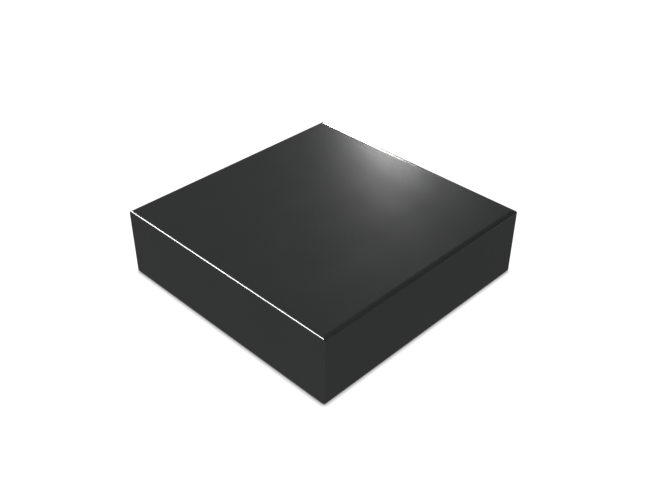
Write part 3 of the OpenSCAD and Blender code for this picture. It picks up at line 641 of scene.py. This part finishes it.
def make_housing():
    """The housing with a softly led-in top edge, its rear window flared, and its moulded inside."""
    low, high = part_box("top_housing")
    half = high.x
    corner, least_corner = 0.7 * MM, 0.15 * MM
    lead_in, drop, rim = 2.1 * MM, 1.1 * MM, 0.15 * MM
    steps = 12
    rings = [(low.z, rim), (low.z + rim, 0)]
    for i in range(steps + 1):
        a = math.radians(90 * i / steps)
        rings.append((high.z - drop + drop * math.sin(a), lead_in * (1 - math.cos(a))))
    outlines = []
    for z, inset in rings:
        radius = max(corner - inset, least_corner)
        outlines.append([(x, y, z) for x, y in rounded_square(half - inset, half - inset, radius, 10)])
    housing = new_piece("housing_moulding", as_mesh("housing_moulding", stacked_rings(outlines)))

    # the skin's hollow is a little smaller than the block that keeps the CAD inside, so they overlap
    skin, overlap, far = 1.7 * MM, 0.3 * MM, 0.1
    hollow = half - skin
    block = half - skin + overlap
    boolean(housing, block_piece(
        "hollow", (-hollow, -hollow, -far), (hollow, hollow, high.z - skin),
    ), "DIFFERENCE")
    inside = new_piece("inside", NODES["top_housing"].data.copy())
    inside.data.materials.clear()
    boolean(inside, block_piece(
        "keep", (-block, -block, -far), (block, block, high.z - skin + overlap),
    ), "INTERSECT")
    boolean(housing, inside, "UNION")

    # the pocket behind the front wall that the status light shines through
    pipe_low, pipe_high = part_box("light_pipe")
    play = 0.3 * MM
    boolean(housing, block_piece(
        "pocket",
        (pipe_low.x - play, -half + 1 * MM, pipe_low.z - 0.2 * MM),
        (pipe_high.x + play, -half + 2.5 * MM, pipe_high.z + 0.4 * MM),
    ), "DIFFERENCE")

    # the window round the rear panel, with a small flare at the outside
    gap, flare = 0.15 * MM, 0.25 * MM
    window_x = WINDOW_HALF + gap
    window_z = WINDOW_TOP + gap
    depth = [(half - 4 * MM, 0), (half - flare, 0), (half + flare, 2 * flare)]
    window = bmesh.new()
    rows = [[window.verts.new(p) for p in (
        (-window_x - g, y, -far), (window_x + g, y, -far),
        (window_x + g, y, window_z + g), (-window_x - g, y, window_z + g),
    )] for y, g in depth]
    for near, back in zip(rows, rows[1:]):
        for i in range(4):
            window.faces.new((near[i], back[i], back[(i + 1) % 4], near[(i + 1) % 4]))
    window.faces.new(rows[0])
    window.faces.new(reversed(rows[-1]))
    bmesh.ops.recalc_face_normals(window, faces=window.faces)
    boolean(housing, new_piece("window", as_mesh("window", window)), "DIFFERENCE")
    smooth_by_angle(housing)
    finish_piece(housing, "top_housing", PLASTIC)


# ---- feet, button, cables and springs ----

def make_feet():
    """Rubber feet with a rounded sole and a round-lipped ring groove."""
    for node in ("foot_front_left", "foot_front_right", "foot_rear_left", "foot_rear_right"):
        low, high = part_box(node)
        middle = (low + high) / 2
        radius, top = (high.x - low.x) / 2, high.z - low.z
        soft, lip, groove = 0.4 * MM, 0.1 * MM, 0.2 * MM
        inner, outer = radius - 1.9 * MM, radius - 1.2 * MM
        profile = [(0, 0)]
        profile += arc(inner - lip, lip, lip, -90, 0)
        profile += [(inner, groove), (outer, groove)]
        profile += arc(outer + lip, lip, lip, 180, 270)
        profile += arc(radius - soft, soft, soft, -90, 0, 8)
        profile += arc(radius - lip, top - lip, lip, 0, 90)
        profile += [(0, top)]
        foot = turned(node + "_rubber", profile, (middle.x, middle.y, low.z))
        smooth_by_angle(foot, 40)
        finish_piece(foot, node, RUBBER)


def make_reset_button():
    """The reset button: stem, flange and a cap with a rounded rim and a dished face."""
    low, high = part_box("reset_button")
    middle = (low + high) / 2
    length = high.y - low.y
    flange_r = (high.x - low.x) / 2
    cap_r, stem_r, soft = 2.0 * MM, 1.0 * MM, 0.3 * MM
    panel_low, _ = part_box("rear_panel")
    flange_end = panel_low.y - 0.1 * MM - low.y
    flange_start = flange_end - 0.8 * MM
    dish = 0.2 * MM
    edge = 0.1 * MM
    profile = [(0, 0), (stem_r - edge, 0), (stem_r, edge), (stem_r, flange_start)]
    profile += arc(flange_r - edge, flange_start + edge, edge, -90, 0)
    profile += arc(flange_r - edge, flange_end - edge, edge, 0, 90)
    profile += [(cap_r, flange_end)]
    profile += arc(cap_r - soft, length - soft, soft, 0, 90, 8)
    dished = cap_r - soft
    for i in range(1, 6):
        out = dished * (1 - i / 6)
        profile.append((out, length - dish * (1 - (out / dished) ** 2)))
    profile.append((0, length - dish))
    button = turned("reset_button_cap", profile, (middle.x, low.y, middle.z), "Y", 48)
    smooth_by_angle(button, 40)
    finish_piece(button, "reset_button", BUTTON)


def make_antenna_cables():
    """The two coaxial leads, along the same routes as in the CAD model, with their press-on plugs."""
    lead_radius, curve_steps = 0.565 * MM, 33
    _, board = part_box("main_board")
    plug_z = board.z / MM + 2
    left, right = Vector((-35, -25.4, plug_z)), Vector((-25, -25.4, plug_z))
    routes = {
        "antenna_cable_left": (left, [
            left + Vector((-1, 0, 0)), left + Vector((-3, 0.3, 0.4)), (-41, -22, 12.6),
            (-44.5, -18, 13.8), (-46.6, -14, 14), (-46.95, -10, 14),
        ]),
        "antenna_cable_right": (right, [
            right + Vector((1, 0, 0)), right + Vector((3, -0.3, 0.2)), (-17, -29, 9.8), (-10, -36, 9),
            (0, -39, 8.4), (16, -39, 8.4), (28, -38.5, 8.4), (36, -35, 10), (42, -28, 13),
            (45.5, -20, 14), (46.6, -14, 14), (46.95, -10, 14),
        ]),
    }
    for node, (plug, route) in routes.items():
        points = smooth_route([Vector(p) * MM for p in route], curve_steps // (len(route) - 1))
        lead = swept(node + "_jacket", points, lead_radius, 16)
        smooth_by_angle(lead, 40)
        finish_piece(lead, node, CABLE)
        base = board.z + 1.4 * MM
        r, h, edge = 1.3 * MM, 1.25 * MM, 0.15 * MM
        waist, dimple = 0.88 * r, h - 0.1 * MM
        profile = [(0, 0), (r - edge, 0), (r, edge), (r, 0.35 * h), (waist, 0.42 * h), (waist, 0.5 * h)]
        profile += [(r, 0.57 * h)] + arc(r - edge, h - edge, edge, 0, 90)
        profile += [(0.5 * r, h), (0.45 * r, dimple), (0, dimple)]
        cap = turned(node + "_plug", profile, (plug.x * MM, plug.y * MM, base), "Z", 32)
        smooth_by_angle(cap, 40)
        finish_piece(cap, node, GOLD)


def coil(radius, pitch, turns, per_turn):
    """Points of a coil about Z."""
    return [Vector((
        radius * math.cos(math.tau * i / per_turn),
        radius * math.sin(math.tau * i / per_turn),
        pitch * i / per_turn,
    )) for i in range(turns * per_turn + 1)]


def make_heat_sink_springs():
    """The two compression springs round the heat sink's pins, with closed end turns."""
    low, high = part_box("heat_sink_springs")
    wire, radius, turns, per_turn = 0.22 * MM, 2 * MM, 5, 28
    height = high.z - low.z - 2 * wire
    # the share of the turns at each end that lie closed, and what those turns rise together
    closed_share, closed_rise = 0.12, 4 * wire
    for number, (x, y) in enumerate(((low.x, low.y), (high.x, high.y))):
        inward = 1 if number == 0 else -1
        centre = Vector((x + inward * (radius + wire), y + inward * (radius + wire), low.z + wire))
        points = []
        for i, p in enumerate(coil(radius, 0, turns, per_turn)):
            t = i / (turns * per_turn)
            open_part = min(max((t - closed_share) / (1 - 2 * closed_share), 0), 1)
            closed_part = (min(t, closed_share) + max(t + closed_share - 1, 0)) / (2 * closed_share)
            rise = (height - closed_rise) * open_part + closed_rise * closed_part
            points.append(centre + p + Vector((0, 0, rise)))
        spring = swept(f"heat_sink_spring_{number + 1}", points, wire, 12)
        smooth_by_angle(spring, 40)
        finish_piece(spring, "heat_sink_springs", STEEL)


def make_shutter_spring():
    """The shutter's torsion spring: coil and upper leg stay with the socket, the lower leg with the door.

    The node is made of two pieces, and each of its two bodies carries one."""
    shutter_low, shutter_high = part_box("optical_shutter")
    spring_low, spring_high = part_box("shutter_spring")
    radius, wire, turns, pitch, per_turn = 0.58 * MM, 0.1 * MM, 4, 0.4 * MM, 24
    centre_x = (shutter_low.x + shutter_high.x) / 2
    # the hinge pin's centre: the barrel's top is the shutter's highest point
    centre = Vector((centre_x, SHUTTER_AXIS_Y, shutter_high.z - radius))
    points = [
        centre + Vector((p.z - turns * pitch / 2, -p.x, -p.y)) for p in coil(radius, pitch, turns, per_turn)
    ]
    roof = Vector((points[0].x, points[0].y, spring_high.z))
    leg = Vector((points[-1].x, points[-1].y, spring_low.z + wire))
    fixed = swept("shutter_spring_coil", [roof] + points, wire, 10)
    door_leg = swept("shutter_spring_leg", [points[-1], points[-1].lerp(leg, 0.5), leg], wire, 10)
    for piece, owner in ((fixed, "chassis"), (door_leg, "optical_shutter")):
        smooth_by_angle(piece, 40)
        finish_piece(piece, "shutter_spring", STEEL, body=owner)


# ---- the remaining pieces: the CAD's shapes with soft edges and real finishes ----

def beyond(axis, centre, reach):
    """Paints a face 1 where it is farther than reach from centre along an axis, and 0 elsewhere."""
    return lambda place, _: int(abs(place[axis] - centre) > reach)


def above(height):
    """Paints a face 1 where it is above the height, and 0 elsewhere."""
    return lambda place, _: int(place.z > height)


def chip_paint(node):
    """A packaged chip: its substrate is 0, and its moulded body above is 1."""
    substrate_share = 0.36
    low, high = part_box(node)
    return above(low.z + substrate_share * (high.z - low.z))


def module_paint(place, _):
    """The wireless module: its board is 0, its can is 1, and the antenna sockets behind the can are 2."""
    board_top = BOARD_TOP + 0.81 * MM
    can_back = -26.45 * MM
    if place.z < board_top:
        return 0
    return 2 if place.y > can_back else 1


def chip_part_paint(place, middle):
    """A resistor or capacitor: its body is 0, and its two tinned ends are 1."""
    half_body = 0.44 * MM
    return int(abs(place.x - middle.x) > half_body)


def soften_the_rest():
    """Every remaining node, with its edge width in mm, its materials, and what paints them on.

    The metal ends of the moulded parts start just beyond their bodies' half widths."""
    receiver_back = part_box("infrared_receiver")[1].y - 0.8 * MM
    transformer = sum(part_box("ethernet_transformer"), Vector()) / 2
    inductor = sum(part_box("inductors"), Vector()) / 2
    button = sum(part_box("reset_button"), Vector()) / 2
    network = sum(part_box("ethernet_insert"), Vector()) / 2
    chips = (SUBSTRATE, EPOXY)
    rows = [
        ("base_plate", 0.15, (BASE_PLASTIC,), None),
        ("rear_panel", 0.12, (BASE_PLASTIC,), None),
        ("housing_screws", 0.12, (ZINC,), None),
        ("board_screws", 0.12, (ZINC,), None),
        ("rating_label", 0.04, (LABEL,), None),
        ("main_board", 0.05, (BOARD,), None),
        ("heat_spreader", 0.08, (ALUMINIUM,), None),
        ("board_thermal_pad", 0.15, (PAD,), None),
        ("processor_thermal_pad", 0.15, (PAD,), None),
        ("lid_thermal_pad", 0.15, (PAD,), None),
        ("processor", 0.06, chips, chip_paint("processor")),
        ("memory_chips", 0.05, chips, chip_paint("memory_chips")),
        ("flash_chip", 0.05, chips, chip_paint("flash_chip")),
        ("power_chip", 0.05, chips, chip_paint("power_chip")),
        ("ethernet_chip", 0.05, chips, chip_paint("ethernet_chip")),
        ("shield_frame", 0.06, (STEEL,), None),
        ("shield_lid", 0.06, (STEEL,), None),
        ("heat_sink", 0.12, (EXTRUDED,), None),
        ("heat_sink_pins", 0.15, (NYLON,), None),
        ("wireless_module", 0.08, (MODULE_BOARD, STEEL, GOLD), module_paint),
        ("antenna_left", 0.08, (GOLD,), None),
        ("antenna_right", 0.08, (GOLD,), None),
        ("infrared_receiver", 0.15, (LENS, STEEL), lambda place, _: int(place.y > receiver_back)),
        ("status_led", 0.12, (WHITE,), None),
        ("light_pipe", 0.2, (CLEAR,), None),
        ("ethernet_transformer", 0.15, (EPOXY, STEEL), beyond(1, transformer.y, 3.51 * MM)),
        ("inductors", 0.2, (FERRITE, STEEL), beyond(0, inductor.x, 3.51 * MM)),
        ("bulk_capacitors", 0.14, (SOCKET, ALUMINIUM), above(BOARD_TOP + 1.01 * MM)),
        ("crystals", 0.15, (STEEL,), None),
        ("surface_mount_parts", 0.05, (CERAMIC, STEEL), chip_part_paint),
        ("dc_jack_body", 0.2, (SOCKET,), None),
        ("dc_jack_pin", 0.12, (NICKEL,), None),
        ("dc_jack_spring", 0.08, (NICKEL,), None),
        ("hdmi_shell", 0.08, (STEEL,), None),
        ("hdmi_tongue", 0.15, (SOCKET,), None),
        ("hdmi_contacts", 0.025, (GOLD,), None),
        ("usb_shell", 0.08, (STEEL,), None),
        ("usb_tongue", 0.15, (WHITE,), None),
        ("usb_contacts", 0.03, (GOLD,), None),
        ("optical_body", 0.15, (SOCKET,), None),
        ("optical_emitter", 0.08, (RED,), None),
        ("optical_shutter", 0.12, (SHUTTER,), None),
        ("ethernet_shell", 0.08, (STEEL,), None),
        ("ethernet_insert", 0.15, (SOCKET,), None),
        ("ethernet_contacts", 0.06, (GOLD,), None),
        ("ethernet_indicators", 0.15, (GREEN, AMBER), lambda place, _: int(place.x > network.x)),
        ("switch_body", 0.15, (SOCKET, STEEL), beyond(0, button.x, 3.001 * MM)),
        ("switch_plunger", 0.15, (RED,), None),
    ]
    for node, width, materials, paint in rows:
        softened(node, width * MM, materials, paint)


PLASTIC = moulded_plastic("housing_plastic", (0.0195, 0.0205, 0.0200), 0.15)
BASE_PLASTIC = moulded_plastic("base_plastic", (0.022, 0.022, 0.023), 0.42, 0.2 * MM, 0.35, 0.4, 0.04)
SOCKET = moulded_plastic("socket_plastic", (0.016, 0.016, 0.017), 0.36, 0.25 * MM, 0.15)
SHUTTER = moulded_plastic("shutter_plastic", (0.03, 0.03, 0.032), 0.3, 0.25 * MM, 0.12)
BUTTON = moulded_plastic("button_plastic", (0.05, 0.05, 0.052), 0.28, 0.2 * MM, 0.12)
WHITE = moulded_plastic("white_plastic", (0.72, 0.72, 0.68), 0.38, 0.25 * MM, 0.12)
RED = moulded_plastic("red_plastic", (0.4, 0.025, 0.02), 0.2, 0.3 * MM, 0.08)
NYLON = moulded_plastic("pin_nylon", (0.62, 0.62, 0.58), 0.45, 0.2 * MM, 0.2)
CABLE = moulded_plastic("cable_jacket", (0.03, 0.03, 0.031), 0.34, 0.4 * MM, 0.2)
LENS = moulded_plastic("lens_plastic", (0.012, 0.006, 0.009), 0.08, 0.5 * MM, 0.04)
RUBBER = rubber("foot_rubber", (0.035, 0.035, 0.037))
STEEL = metal("tin_plate", (0.62, 0.63, 0.64), 0.24, (1, 0.08, 1))
NICKEL = metal("nickel_plate", (0.6, 0.58, 0.54), 0.16, (1, 0.1, 1))
ZINC = metal("zinc_plate", (0.46, 0.46, 0.48), 0.34)
ALUMINIUM = metal("aluminium_sheet", (0.74, 0.75, 0.76), 0.34, (0.06, 1, 1), 0.3)
EXTRUDED = metal("aluminium_extrusion", (0.72, 0.73, 0.74), 0.38, (1, 0.04, 1), 0.4)
GOLD = metal("gold_flash", (0.83, 0.6, 0.26), 0.2)
LABEL = label_film("label_film", (0.075, 0.075, 0.078))
BOARD = circuit_laminate("circuit_board", (0.008, 0.05, 0.03), (0.28, 0.26, 0.13))
MODULE_BOARD = circuit_laminate("module_board", (0.008, 0.035, 0.09), (0.28, 0.26, 0.13))
SUBSTRATE = circuit_laminate("chip_substrate", (0.02, 0.055, 0.03), (0.1, 0.12, 0.05))
EPOXY = chip_epoxy("chip_epoxy")
FERRITE = chip_epoxy("ferrite", (0.05, 0.05, 0.052))
PAD = gap_pad("thermal_pad", (0.36, 0.45, 0.55))
CERAMIC = ceramic_chips("ceramic_chips")
CLEAR = clear_moulding("clear_plastic", (0.9, 0.93, 0.95), 0.08, 0.85)
GREEN = clear_moulding("green_lens", (0.3, 0.6, 0.16), 0.22, 0.2)
AMBER = clear_moulding("amber_lens", (0.75, 0.36, 0.05), 0.22, 0.2)

make_camera()
make_world()
make_floor()
make_backdrop()
make_lights()
make_housing()
make_feet()
make_reset_button()
make_antenna_cables()
make_heat_sink_springs()
make_shutter_spring()
soften_the_rest()

bpy.context.scene.view_settings.view_transform = "Standard"
